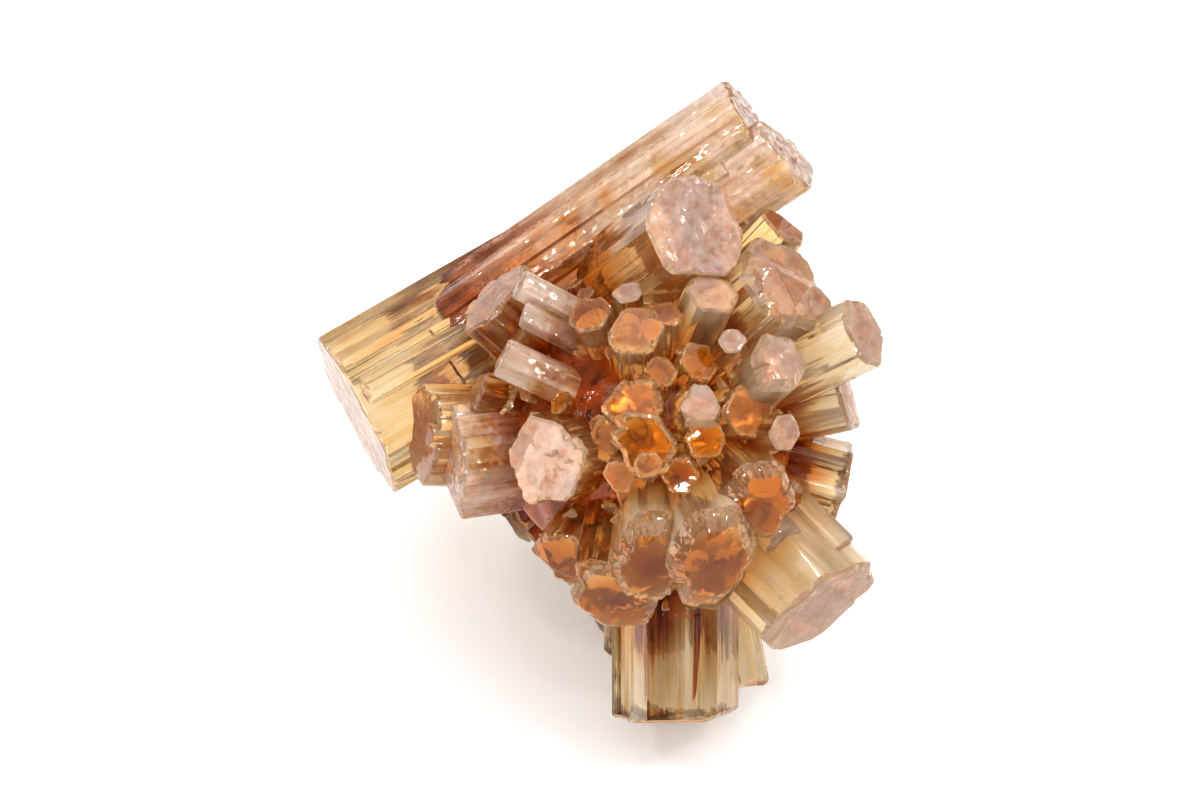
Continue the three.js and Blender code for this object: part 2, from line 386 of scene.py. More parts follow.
# The flat end inside its rim: points scattered over it and along its creases, joined in triangles
def fillEnd(ring, creases, rng):
    inner = ring * flatEnd["inner"]
    low, high = inner.min(axis=0), inner.max(axis=0)
    gap = flatEnd["gap"]
    columns, rows = np.meshgrid(np.arange(low[0], high[0], gap), np.arange(low[1], high[1], gap))
    points = np.stack([columns.ravel(), rows.ravel()], axis=1)
    points = points + rng.uniform(-flatEnd["jitter"], flatEnd["jitter"], points.shape) * gap
    reach = np.abs(inner).max() * flatEnd["creaseReach"]
    run = np.arange(-reach, reach, gap * flatEnd["creaseStep"])
    for direction, offset in creases:
        along = np.array([-direction[1], direction[0]])
        points = points[np.abs(points @ direction - offset) > gap * flatEnd["creaseClear"]]
        points = np.concatenate([points, direction * offset + run[:, None] * along])
    points = points[insideOf(points, inner)]
    coords = [Vector(p) for p in np.concatenate([ring, points])]
    made = delaunay_2d_cdt(coords, [], [list(range(len(ring)))], 1, flatEnd["merge"])
    return np.array([tuple(v) for v in made[0]]), [list(f) for f in made[2]], made[3]


# The growth marks of a crystal's sides and rim, in millimetres
skin = {
    "spacing": 0.2,  # between the points round a crystal
    "slimSpacing": 0.7,  # share of it on crystals under this width
    "slimWidth": 3.5,
    "ringStep": 1.5,  # between the rings along it
    "endMargin": 2,  # that plain rings keep from an end
    "grooveEvery": 0.8,  # one striation for this much of the way round
    "grooveLeast": 5,
    "grooveWidth": (0.25, 0.8),
    "grooveDepth": (0.01, 0.07),
    "grooveShare": 0.35,  # share of that depth on the slimmest crystals
    "grooveFull": 9,  # and the width that would add all of it
    "grooveWhole": 0.45,  # share of them that run the whole length
    "grooveStart": -2,
    "grooveRun": (3, 12),
    "grooveFade": 1.2,
    "stepDepth": (0.03, 0.1),  # growth layers that stop short of the tip
    "stepFull": 8,
    "stepWidth": 3,  # slimmer crystals have one at most
    "stepFromTip": 0.9,
    "stepShare": 0.8,  # share of the bare length that they reach back over
    "stepLeast": 1.6,
    "stepRun": 0.1,
    "stepJag": 0.16,
    "jagEvery": 0.7,
    "stepClear": 0.5,  # that plain rings keep from a step
    "stepEnds": (0.6, 0.85),  # and a step from the root and the tip
    "rim": 0.22,  # worn edge round the flat end
    "rimShare": 0.06,  # most of a crystal's width that it takes
    "chipEvery": 3.5,
    "chipWidth": (0.3, 1.1),
    "chipDepth": (0.08, 0.4),
    "chipFull": 5,
    "chipFlat": 1.3,  # over 1, a chip has a flat bottom
    "sunk": 8.2,  # how near the heart's middle a crystal begins
    "trackStep": 0.25,
    "buriedShare": 0.6,
}

# The rings round an end, from the side over the worn edge to the flat, in shares of the rim and the chips
rimProfile = [
    {"back": 1, "inset": 0, "chipBack": 0.6, "chipInset": 0.1},
    {"back": 0.4, "inset": 0.4, "chipBack": 0.4, "chipInset": 0.4},
    {"back": 0, "inset": 1, "chipBack": 0.06, "chipInset": 0.85},
]


# Striations: how deep each point of a ring is carved at a height
def makeGrooves(rng, way, perimeter, length, width):
    count = max(skin["grooveLeast"], round(perimeter / skin["grooveEvery"]))
    centre = rng.uniform(0, perimeter, count)
    half = rng.uniform(*skin["grooveWidth"], count) / 2
    depth = rng.uniform(*skin["grooveDepth"], count)
    depth = depth * min(1, skin["grooveShare"] + width / skin["grooveFull"])
    whole = rng.random(count) < skin["grooveWhole"]
    begins = np.where(whole, -math.inf, rng.uniform(skin["grooveStart"], length, count))
    ends = np.where(whole, math.inf, begins + rng.uniform(*skin["grooveRun"], count))
    profile = np.clip(1 - wayBetween(way[:, None], centre, perimeter) / half, 0, 1) * depth

    def carved(z):
        fadeIn = np.clip((z - begins) / skin["grooveFade"], 0, 1)
        return profile @ (fadeIn * np.clip((ends - z) / skin["grooveFade"], 0, 1))
    return carved


# Where along its length a crystal comes out of the heart, which hides its root
def bareFrom(root, axis, length):
    track = np.arange(0, length, skin["trackStep"])
    buried = np.linalg.norm(root + track[:, None] * axis, axis=1) < skin["sunk"]
    if not buried[0]:
        return 0.0
    return track[-1] * skin["buriedShare"] if buried.all() else track[np.argmin(buried)]


# Growth layers that end short of the tip: height, side and drop, from root to tip
def makeSteps(rng, length, start, width):
    steps = []
    furthest = max(skin["stepLeast"], skin["stepShare"] * (length - start))
    for i in range(rng.integers(1, 4) if width > skin["stepWidth"] else rng.integers(0, 2)):
        at = length - rng.uniform(skin["stepFromTip"], furthest)
        side = rng.integers(6)
        steps.append((at, side, rng.uniform(*skin["stepDepth"]) * min(1, width / skin["stepFull"])))
    return sorted(steps, key=lambda step: step[0])


# Chips broken out of the rim: how deep each point of it is cut
def makeChips(rng, way, perimeter, width):
    chips = np.zeros(len(way))
    for i in range(round(perimeter / skin["chipEvery"])):
        away = wayBetween(way, rng.uniform(0, perimeter), perimeter)
        half = rng.uniform(*skin["chipWidth"]) / 2
        bite = np.clip(skin["chipFlat"] - away / half, 0, 1) * rng.uniform(*skin["chipDepth"])
        chips = np.maximum(chips, bite * min(1, width / skin["chipFull"]))
    return chips


zones = {"side": 0, "rim": 1, "end": 2, "heart": 3}


# One crystal with its striations, growth steps, worn rim and terraced end: points, faces and their zones
def growCrystal(crystal, seed):
    rng = np.random.default_rng(seeds["crystals"] + seed)
    width = crystal["width"]
    root, axis, length = spanOf(crystal)
    points, sides = outlineOf(crystal, seed)
    spokes = np.linalg.norm(points, axis=1)
    points = lerp(points, points * (spokes.mean() / spokes)[:, None], crystal.get("round", 0))
    spacing = skin["spacing"] * (skin["slimSpacing"] if width < skin["slimWidth"] else 1)
    fine, sideOf, way, perimeter = strand(points, sides, spacing)
    count = len(fine)
    outward = np.linalg.norm(fine, axis=1)

    carved = makeGrooves(rng, way, perimeter, length, width)
    start = bareFrom(root, axis, length)
    steps = makeSteps(rng, length, start, width)
    jag = closedNoise(rng, perimeter, skin["jagEvery"])
    creases, depthAt = makeTerraces(width, rng, crystal.get("facets", ()))
    creasesBack, depthAtBack = makeTerraces(width, rng)
    chips = makeChips(rng, way, perimeter, width)

    def insetAt(z):
        inset = carved(z)
        for at, side, drop in steps:
            inset = inset + drop * ((z > at) & (sideOf == side))
        return inset

    def endRings(z, outwardSign, depthFunction):
        rim = crystal.get("rim", min(skin["rim"], width * skin["rimShare"]))
        made = []
        for ring in rimProfile:
            cut = insetAt(z) + rim * ring["inset"] + chips * ring["chipInset"]
            under = depthFunction(fine * (1 - cut / outward)[:, None])
            under = under + rim * ring["back"] + chips * ring["chipBack"]
            made.append((z - outwardSign * under, cut))
        return made

    rings = []  # height and inset of each point of each ring, from root to tip
    if crystal.get("twoEnds"):
        rings += endRings(0, -1, depthAtBack)[::-1]
        start = skin["endMargin"]
    plain = []
    for z in np.arange(start, length - skin["endMargin"], skin["ringStep"]):
        if all(abs(z - step[0]) > skin["stepClear"] for step in steps):
            plain.append((z, None))
    fromRoot, fromTip = skin["stepEnds"]
    for at, side, drop in steps:
        if start + fromRoot < at < length - fromTip:
            plain += [(at - skin["stepRun"], side), (at + skin["stepRun"], side)]
    for z, side in sorted(plain, key=lambda item: item[0]):
        shift = 0 if side is None else jag(way) * skin["stepJag"]
        rings.append((z + shift + np.zeros(count), insetAt(z)))
    rings += endRings(length, 1, depthAt)

    verts = []
    for z, inset in rings:
        flat = fine * (1 - inset / outward)[:, None]
        verts.append(np.concatenate([flat, np.reshape(z, (-1, 1))], axis=1))
    faces, zone = [], []
    rimBands = len(rimProfile) - 1
    for i in range(len(rings) - 1):
        worn = i >= len(rings) - 1 - rimBands or (crystal.get("twoEnds") and i < rimBands)
        low, high = i * count, (i + 1) * count
        for j in range(count):
            k = (j + 1) % count
            faces += [(low + j, low + k, high + k), (low + j, high + k, high + j)]
            zone += [zones["rim" if worn else "side"]] * 2

    def closeEnd(ringIndex, z, outwardSign, creaseList, depthFunction):
        flat, triangles, source = fillEnd(verts[ringIndex][:, :2], creaseList, rng)
        total = sum(len(some) for some in verts)
        place, extra = [], []
        for i, origins in enumerate(source):
            onRim = [o for o in origins if o < count]
            if onRim:
                place.append(ringIndex * count + onRim[0])
            else:
                place.append(total + len(extra))
                extra.append(flat[i])
        extra = np.array(extra).reshape(-1, 2)
        heights = z - outwardSign * depthFunction(extra)
        verts.append(np.concatenate([extra, heights[:, None]], axis=1))
        for triangle in triangles:
            faces.append(tuple(place[i] for i in triangle[::outwardSign]))
            zone.append(zones["end"])

    closeEnd(len(rings) - 1, length, 1, creases, depthAt)
    if crystal.get("twoEnds"):
        closeEnd(0, 0, -1, creasesBack, depthAtBack)
    else:
        faces.append(tuple(range(count))[::-1])
        zone.append(zones["side"])
    toWorld = upright @ turnOf(crystal)
    origin = heart + upright @ root
    return {"points": origin + np.concatenate(verts) @ toWorld.T, "faces": faces, "zone": zone,
            "origin": origin, "axes": toWorld, "length": length, "bare": length - start, "width": width,
            "side": crystal["side"], "end": crystal["end"]}


# Slimmer crystals that grew along the stout ones, mostly sunk in their sides
company = {
    "count": (1, 4),
    "width": (0.2, 0.42),  # shares of the stout crystal's
    "place": (0.2, 0.8),  # along one of its sides
    "sunk": 0.3,
    "shorter": 0.6,  # share of them that end well short of its tip
    "short": (0.15, 5),
    "level": (0.1, 0.5),
    "tilt": 0.03,
    "tiltReach": 6,
    "tiltShare": 0.3,
}


def companionsOf(crystal, seed):
    rng = np.random.default_rng(seeds["companions"] + seed)
    if crystal["width"] < form["stoutWidth"]:
        return []
    root, axis = spanOf(crystal)[:2]
    tip = np.array(crystal["tip"], float)
    turn = turnOf(crystal)
    points = outlineOf(crystal, seed)[0]
    found = []
    for i in range(rng.integers(*company["count"])):
        width = crystal["width"] * rng.uniform(*company["width"])
        k = rng.integers(len(points))
        spot = lerp(points[k], points[(k + 1) % len(points)], rng.uniform(*company["place"]))
        spot = spot - unit(spot) * width * company["sunk"]
        shorter = rng.random() < company["shorter"]
        short = rng.uniform(*company["short" if shorter else "level"])
        lean = rng.normal(0, company["tilt"], 2)
        aside = turn @ np.append(spot, 0)
        leaned = turn @ np.append(lean * company["tiltReach"], 0) * company["tiltShare"]
        found.append({"tip": tip - axis * short + aside + leaned, "root": root + aside - leaned,
                      "width": width, "turn": rng.uniform(0, 60),
                      "side": crystal["side"], "end": crystal["end"]})
    return found


# Small crystals that fill the valleys between the large ones: low ones everywhere, and stouter ones at the
# front that leave the hollows open
druses = [
    {"count": 130, "facing": -1, "reach": (11.6, 14.2), "width": (1.1, 2.4), "everywhere": True},
    {"count": 44, "facing": 0.5, "reach": (12.8, 14.6), "width": (2.8, 4.6), "everywhere": False},
]
druseHabit = {
    "stray": 0.08,  # off an even spiral
    "slim": (0.75, 1),
    "wide": (1, 1.25),
    "looks": [("russet", "amber"), ("honey", "honey"), ("honey", "rose")],
}
hollows = [  # directions left open, and their reach in degrees
    {"toward": (-0.45, 0.45, 0.77), "reach": 26},
    {"toward": (-0.6, -0.15, 0.79), "reach": 24},
]


def inHollow(direction):
    return any(direction @ hollow["toward"] >= math.cos(math.radians(hollow["reach"])) for hollow in hollows)


def druseCrystals():
    rng = np.random.default_rng(seeds["druses"])
    found = []
    for druse in druses:
        for i in range(druse["count"]):
            toward = lerp(1, druse["facing"], (i + 0.5) / druse["count"])
            direction = unit(spiralDirection(i, toward)[0] + rng.normal(0, druseHabit["stray"], 3))
            side, end = druseHabit["looks"][i % len(druseHabit["looks"])]
            one = {"tip": direction * rng.uniform(*druse["reach"]), "width": rng.uniform(*druse["width"]),
                   "turn": rng.uniform(0, 60),
                   "stretch": (rng.uniform(*druseHabit["slim"]), rng.uniform(*druseHabit["wide"])),
                   "side": side, "end": end}
            if druse["everywhere"] or not inHollow(direction):
                found.append(one)
    return found


def toMesh(name, points, faces, zone, number):
    mesh = bpy.data.meshes.new(name)
    mesh.from_pydata((points * mm).tolist(), [], faces)
    for label, values in (("zone", zone), ("crystal", [number] * len(faces))):
        mesh.attributes.new(label, "INT", "FACE").data.foreach_set("value", values)
    return mesh


main = seen + behind + hiddenCrystals()
crystals = [growCrystal(crystal, seed) for seed, crystal in enumerate(main)]
extras = [one for seed, crystal in enumerate(main) for one in companionsOf(crystal, seed)]
extras += druseCrystals()
crystals += [growCrystal(crystal, seeds["small"] + i) for i, crystal in enumerate(extras)]
print(len(main), "crystals and", len(extras), "small ones grown")

# The heart: a lumpy ball that the roots are buried in
lump = {"size": 3.5, "height": 0.5, "forward": 1.6, "subdivisions": 5}
ball = bmesh.new()
bmesh.ops.create_icosphere(ball, subdivisions=lump["subdivisions"], radius=growth["heartRadius"])
for vert in ball.verts:
    vert.co *= 1 + lump["height"] / growth["heartRadius"] * (noise.noise(vert.co / lump["size"]) - 0.5)
ballPoints = np.array([tuple(vert.co) for vert in ball.verts]) + heart + upright @ (0, 0, lump["forward"])
ballFaces = [[vert.index for vert in face.verts] for face in ball.faces]
ball.free()
ballZone = [zones["heart"]] * len(ballFaces)
core = bpy.data.objects.new("core", toMesh("core", ballPoints, ballFaces, ballZone, len(crystals)))
bpy.context.scene.collection.objects.link(core)

# The crystals joined to it in one body
growing = bpy.data.collections.new("growing")
bpy.context.scene.collection.children.link(growing)
for i, one in enumerate(crystals):
    name = "crystal%d" % i
    mesh = toMesh(name, one["points"], one["faces"], one["zone"], i)
    growing.objects.link(bpy.data.objects.new(name, mesh))

join = core.modifiers.new("join", "BOOLEAN")
join.operation = "UNION"
join.operand_type = "COLLECTION"
join.collection = growing
join.solver = "MANIFOLD"
joined = bpy.data.meshes.new_from_object(core.evaluated_get(bpy.context.evaluated_depsgraph_get()))

# Gaps that the roots have closed round leave bodies inside: only the outside one is kept
body = bmesh.new()
body.from_mesh(joined)
bmesh.ops.triangulate(body, faces=body.faces)
body.verts.ensure_lookup_table()
left, islands = set(body.verts), []
while left:
    grown, front = set(), [left.pop()]
    while front:
        vert = front.pop()
        grown.add(vert)
        for edge in vert.link_edges:
            other = edge.other_vert(vert)
            if other in left:
                left.discard(other)
                front.append(other)
    islands.append(grown)
islands.sort(key=len)
for island in islands[:-1]:
    bmesh.ops.delete(body, geom=list(island), context="VERTS")
clusterMesh = bpy.data.meshes.new("aragoniteCrystals")
body.to_mesh(clusterMesh)
openEdges = sum(not edge.is_manifold for edge in body.edges)
body.free()
for one in list(growing.objects):
    bpy.data.objects.remove(one)
bpy.data.collections.remove(growing)
bpy.data.objects.remove(core)
cluster = bpy.data.objects.new("aragoniteCrystals", clusterMesh)
bpy.context.scene.collection.objects.link(cluster)
print("joined:", len(clusterMesh.polygons), "triangles,", len(islands), "bodies,", openEdges, "open edges")

# What the finish needs to know at each corner of the mesh
faceCount = len(clusterMesh.polygons)
zoneOf = np.zeros(faceCount, np.int32)
clusterMesh.attributes["zone"].data.foreach_get("value", zoneOf)
numberOf = np.zeros(faceCount, np.int32)
clusterMesh.attributes["crystal"].data.foreach_get("value", numberOf)
corner = np.zeros(faceCount * 3, np.int32)
clusterMesh.loops.foreach_get("vertex_index", corner)
points = np.zeros(len(clusterMesh.vertices) * 3, np.float32)
clusterMesh.vertices.foreach_get("co", points)
points = points.reshape(-1, 3)[corner] / mm
number = np.repeat(numberOf, 3)
zone = np.repeat(zoneOf, 3)

# Looks of the sides: pale at the tip, clear, streaky, dusted with fine growth, how soon they pale on the way
sideLooks = {
    "straw": (0.92, 0.8, 0.55, 0, 0.4),
    "streaked": (0.95, 0.85, 1.4, 0, 0.6),
    "cream": (1.15, 0.6, 0.25, 0.1, 0.65),
    "honey": (0.85, 0.82, 0.35, 0, 0.7),
    "russet": (0.6, 0.7, 0.5, 0.1, 0.6),
    "sugary": (0.8, 0.65, 0.5, 0.8, 0.55),
    "rosy": (0.85, 0.62, 0.8, 0.75, 0.5),
    "heart": (0, 0.5, 0.3, 0, 0.7),
}
endTones = {"frost": 0.9, "rose": 0.6, "honey": 0.3, "amber": 0}  # how frosted a flat end is
toneSpread = {
    "pale": 0.07,  # from crystal to crystal
    "clear": 0.05,
    "frost": 0.05,
    "palest": 1.2,
    "shift": 200,  # how far apart the crystals lie in the patterns
    "darkRadius": 9.5,  # all is dark within this of the heart's middle, and pales over the next stretch: rust of the roots, deepened as painted shade in the gaps between crystals
    "darkFade": 5,
    "rimMost": 1.2,  # how far out a place counts, in half widths
    "edgeAngle": 15,  # degrees: sharper edges than this are not shaded smooth
}
toneRng = np.random.default_rng(seeds["tones"])
origins = np.array([one["origin"] for one in crystals] + [heart])
axes = np.array([one["axes"] for one in crystals] + [np.eye(3)])
lengths = np.array([one["length"] for one in crystals] + [growth["heartRadius"]])
widths = np.array([one["width"] for one in crystals] + [growth["heartRadius"]])
bare = np.array([one["bare"] for one in crystals] + [growth["heartRadius"]])
looks = [sideLooks[one["side"]] for one in crystals] + [sideLooks["heart"]]
pale, clear, streaky, dusty, fade = np.array(looks, float).T
frost = np.array([endTones[one["end"]] for one in crystals] + [0.0])
pale = np.clip(pale + toneRng.normal(0, toneSpread["pale"], len(pale)), 0, toneSpread["palest"])
clear = np.clip(clear + toneRng.normal(0, toneSpread["clear"], len(clear)), 0, 1)
frost = np.clip(frost + toneRng.normal(0, toneSpread["frost"], len(frost)), 0, 1)
shift = toneRng.uniform(0, toneSpread["shift"], (len(pale), 3))

local = np.einsum("nji,nj->ni", axes[number], points - origins[number])
grain = local + shift[number]
fromTip = lengths[number] - local[:, 2]
fromHeart = np.linalg.norm(points - heart, axis=1)
tipness = np.clip(1 - fromTip / bare[number], 0, 1) ** fade[number]
# painted shade: near the heart's middle, deep in the gaps between crystals, the sides fall to their darkest
# root colour, and the bare heart is darkest of all
tipness *= np.clip((fromHeart - toneSpread["darkRadius"]) / toneSpread["darkFade"], 0, 1)
tipness[zone == zones["heart"]] = 0
rimness = np.clip(np.linalg.norm(local[:, :2], axis=1) / (widths[number] / 2), 0, toneSpread["rimMost"])
isEnd = (zone == zones["end"]) | (zone == zones["rim"])
growthMarks = np.stack([tipness, isEnd.astype(float), rimness], axis=1)
tones = np.stack([pale[number], frost[number], clear[number]], axis=1)
habit = np.stack([streaky[number], dusty[number], zone == zones["rim"]], axis=1)
for name, values in (("grain", grain), ("growthMarks", growthMarks), ("tones", tones), ("habit", habit)):
    layer = clusterMesh.attributes.new(name, "FLOAT_VECTOR", "CORNER")
    layer.data.foreach_set("vector", values.astype(np.float32).ravel())
clusterMesh.shade_smooth()
clusterMesh.set_sharp_from_angle(angle=math.radians(toneSpread["edgeAngle"]))
print("growth marks written")


def toLinear(hexColour):
    channels = [int(hexColour[i:i + 2], 16) / 255 for i in (1, 3, 5)]
    return [c / 12.92 if c <= 0.04045 else ((c + 0.055) / 1.055) ** 2.4 for c in channels] + [1]


# Adds a node with its settings, and links or sets its inputs. A node given as an input stands for its result
def addNode(tree, kind, settings=None, inputs=None):
    node = tree.nodes.new("ShaderNode" + kind)
    for key, value in (settings or {}).items():
        setattr(node, key, value)
    for key, value in (inputs or {}).items():
        if isinstance(value, bpy.types.Node):
            value = next(output for output in value.outputs if output.enabled)
        if isinstance(value, bpy.types.NodeSocket):
            tree.links.new(value, node.inputs[key])
        else:
            node.inputs[key].default_value = value
    return node


def newMaterial(name):
    material = bpy.data.materials.new(name)
    material.use_nodes = True
    material.node_tree.nodes.clear()
    return material, material.node_tree


def setRamp(node, stops):
    ramp = node.color_ramp
    while len(ramp.elements) < len(stops):
        ramp.elements.new(0.5)
    for element, (place, colour) in zip(ramp.elements, stops):
        element.position = place
        element.color = toLinear(colour)


# Aragonite, grown from solution: iron colours it honey, dark at the root and paler towards the tip; the dark
# at the root and round the heart is deepened as painted shade of the gaps between crystals. The striated
# sides are glossy and see-through, with streaks and veins along the prism, and the flat ends are clear as
# amber glass or frosted by fine growth
aragonite = {
    "ior": 1.6,
    "specular": 0.45,
    "absorption": "#F5DC82",
    "density": 45,  # per metre
    # the darkest side stop is the roots' rust, deepened into painted shade for the gaps
    "sideStops": [(0, "#561602"), (0.22, "#AE4C0A"), (0.45, "#D6862E"), (0.7, "#E6C896"), (1, "#F2E8D4")],
    "amberStops": [(0, "#B05604"), (0.6, "#DA8A16"), (0.95, "#F4D29A")],
    "frostStops": [(0.3, "#DAB2A0"), (0.7, "#F0DED6")],
    # painted highlight: the pale colour laid over each end's rim, where the edge catches the light
    "rim": "#F2DCBE",
    "paintedRimHighlight": 0.45,
    "rootTone": 0.16,  # places on the side's stops: at the root, at a dull tip, and what a pale one adds
    "tipTone": 0.42,
    "paleTone": 0.5,
    "lines": {"vein": -0.26, "speck": -0.5, "striae": 0.2, "streak": 0.5},  # what they add along the sides
    "clouds": {"stain": 0.4, "blotch": 0.4},
    "speckAbove": 0.97,
    "edges": {"vein": (0.54, 0.66), "dust": (0.22, 0.58)},  # where in their noise they begin and fill
    "sugaryAbove": 0.5,
    "rootDust": 0.25,
    "amberCloud": 0.5,  # painted shade and light: the ends darken from the rim to the middle, unevenly, and pale to a painted highlight at the rim
    "amberMiddle": -0.25,
    "goldFrom": 0.4,  # half-frosted ends are paler gold
    "gold": 3.5,
    "sideRough": (0.03, 0.17),
    "cloudy": (0.5, -0.4),
    "dustClear": -0.5,
    "sideRelief": 0.3,
    "ends": {"rough": (0.06, 0.14), "clear": (0.78, 0.58), "relief": (0, 0.14)},  # bare and fully frosted
    "sideLean": 0.12,  # how far small growth facets lean, and what adds to it on grainy places
    "lean": {"worn": 0.28, "dust": 0.4, "frost": 0.12},
    "reliefHeight": 0.05,  # mm
    "noiseRough": 0.6,
}
# Width and length in mm along the sides, and the size of the grains drawn instead on the ends. The striae
# are drawn coarser than many real ones, to show
patterns = {
    "streak": {"width": 0.45, "length": 9, "grains": 0.9, "detail": 2},
    "striae": {"width": 0.14, "length": 14, "grains": 0.12, "detail": 0},
    "stain": {"width": 2.2, "length": 8, "detail": 1},
    "vein": {"width": 0.8, "length": 9, "detail": 1},
    "blotch": {"width": 3, "length": 3, "detail": 1},
    "facet": {"width": 0.5, "length": 10, "grains": 0.4},
}
times = {"operation": "MULTIPLY"}
timesPlus = {"operation": "MULTIPLY_ADD"}
minus = {"operation": "SUBTRACT"}
ofColours = {"data_type": "RGBA"}
stone, tree = newMaterial("aragonite, grown and striated")
layers = {}
for name in ("grain", "growthMarks", "tones", "habit"):
    layers[name] = addNode(tree, "Attribute", {"attribute_name": name}).outputs["Vector"]
tipAt, endAt, rimAt = addNode(tree, "SeparateXYZ", None, {0: layers["growthMarks"]}).outputs
paleAt, frostAt, clearAt = addNode(tree, "SeparateXYZ", None, {0: layers["tones"]}).outputs
streakyAt, dustyAt, wornRimAndHighlightAt = addNode(tree, "SeparateXYZ", None, {0: layers["habit"]}).outputs
sugary = addNode(tree, "Math", {"operation": "GREATER_THAN"}, {0: dustyAt, 1: aragonite["sugaryAbove"]})
grainy = addNode(tree, "Math", {"operation": "MAXIMUM"}, {0: endAt, 1: sugary})

# each pattern drawn along its own crystal, as lines on the sides and as grains on the ends
grainsOn = {"streak": endAt, "striae": endAt, "facet": grainy}
drawn = {}
for name, pattern in patterns.items():
    scale = (1 / pattern["width"], 1 / pattern["width"], 1 / pattern["length"])
    if name in grainsOn:
        scale = addNode(tree, "Mix", {"data_type": "VECTOR"}, {
            "Factor": grainsOn[name], 4: scale, 5: [1 / pattern["grains"]] * 3})
    drawn[name] = addNode(tree, "VectorMath", times, {0: layers["grain"], 1: scale})
    if "detail" in pattern:
        drawn[name] = addNode(tree, "TexNoise", None, {
            "Vector": drawn[name], "Scale": 1, "Detail": pattern["detail"],
            "Roughness": aragonite["noiseRough"]})
facetColour = addNode(tree, "TexVoronoi", None, {"Vector": drawn["facet"], "Scale": 1}).outputs["Color"]
swing = {}
for name in ("striae", "streak", "stain", "blotch"):
    swing[name] = addNode(tree, "Math", minus, {0: drawn[name], 1: 0.5})
edged = {}
for name, source in (("vein", drawn["vein"]), ("dust", drawn["blotch"])):
    low, high = aragonite["edges"][name]
    edged[name] = addNode(tree, "MapRange", {"interpolation_type": "SMOOTHSTEP"}, {
        "Value": source, "From Min": low, "From Max": high})
pick = addNode(tree, "SeparateColor", None, {0: facetColour}).outputs[2]
pick = addNode(tree, "Math", minus, {0: pick, 1: grainy})
speck = addNode(tree, "Math", {"operation": "GREATER_THAN"}, {0: pick, 1: aragonite["speckAbove"]})

# the sides: paler towards the tip and darkest at the root and round the heart, partly painted shade of the
# gaps, with lines and clouds, and dusted where fine growth covers them
tipTone = addNode(tree, "Math", timesPlus, {0: paleAt, 1: aragonite["paleTone"], 2: aragonite["tipTone"]})
sideTone = addNode(tree, "Mix", None, {"Factor": tipAt, 2: aragonite["rootTone"], 3: tipTone})
lines = 0
for name, source in (("vein", edged["vein"]), ("speck", speck), ("striae", swing["striae"]),
                     ("streak", swing["streak"])):
    lines = addNode(tree, "Math", timesPlus, {0: source, 1: aragonite["lines"][name], 2: lines})
sideTone = addNode(tree, "Math", timesPlus, {0: lines, 1: streakyAt, 2: sideTone})
for name, weight in aragonite["clouds"].items():
    sideTone = addNode(tree, "Math", timesPlus, {0: swing[name], 1: weight, 2: sideTone})
dustReach = addNode(tree, "Mix", None, {"Factor": tipAt, 2: aragonite["rootDust"], 3: 1.0})
dust = addNode(tree, "Math", times, {0: edged["dust"], 1: dustyAt})
dust = addNode(tree, "Math", times, {0: dust, 1: dustReach})

# the ends: amber glass with painted shade in the middle and painted light at the rim, paler gold where they
# are half frosted, and frost
# painted shade and light: the amber colour runs from dark in the middle of an end to pale at its rim
amberPlace = addNode(tree, "Math", timesPlus, {0: drawn["blotch"], 1: aragonite["amberCloud"], 2: rimAt})
amberPlace = addNode(tree, "Math", {"operation": "ADD"}, {0: amberPlace, 1: aragonite["amberMiddle"]})
someFrost = addNode(tree, "Math", minus, {0: frostAt, 1: aragonite["goldFrom"]})
someFrost = addNode(tree, "Math", {"operation": "MAXIMUM"}, {0: someFrost, 1: 0.0})
bareShare = addNode(tree, "Math", minus, {0: 1.0, 1: frostAt})
gold = addNode(tree, "Math", times, {0: someFrost, 1: bareShare})
amberPlace = addNode(tree, "Math", timesPlus, {0: gold, 1: aragonite["gold"], 2: amberPlace})

ramps = {}
for name, place in (("sideStops", sideTone), ("amberStops", amberPlace), ("frostStops", drawn["streak"])):
    ramps[name] = addNode(tree, "ValToRGB", None, {0: place})
    setRamp(ramps[name], aragonite[name])
# painted highlight: the rim band pales towards the rim colour
paintedRimHighlight = addNode(tree, "Math", times, {0: wornRimAndHighlightAt, 1: aragonite["paintedRimHighlight"]})
endColour = addNode(tree, "Mix", ofColours, {
    "Factor": frostAt, 6: ramps["amberStops"], 7: ramps["frostStops"]})
sideColour = addNode(tree, "Mix", ofColours, {
    "Factor": dust, 6: ramps["sideStops"], 7: ramps["frostStops"]})
colour = addNode(tree, "Mix", ofColours, {"Factor": endAt, 6: sideColour, 7: endColour})
colour = addNode(tree, "Mix", ofColours, {"Factor": paintedRimHighlight, 6: colour, 7: toLinear(aragonite["rim"])})

# how rough, clear and uneven the surface is
plain, rough = aragonite["sideRough"]
sideRough = addNode(tree, "Math", timesPlus, {0: drawn["streak"], 1: rough - plain, 2: plain})
clearest, cloudiest = aragonite["cloudy"]
cloud = addNode(tree, "Math", timesPlus, {0: drawn["stain"], 1: cloudiest - clearest, 2: clearest})
sideClear = addNode(tree, "Math", {"operation": "ADD", "use_clamp": True}, {0: clearAt, 1: cloud})
dustClear = addNode(tree, "Math", timesPlus, {0: dust, 1: aragonite["dustClear"], 2: 1.0})
sideClear = addNode(tree, "Math", times, {0: sideClear, 1: dustClear})
surface = {}
for name, side in (("rough", sideRough), ("clear", sideClear), ("relief", aragonite["sideRelief"])):
    bareEnd, frostedEnd = aragonite["ends"][name]
    end = addNode(tree, "Mix", None, {"Factor": frostAt, 2: bareEnd, 3: frostedEnd})
    surface[name] = addNode(tree, "Mix", None, {"Factor": endAt, 2: side, 3: end})

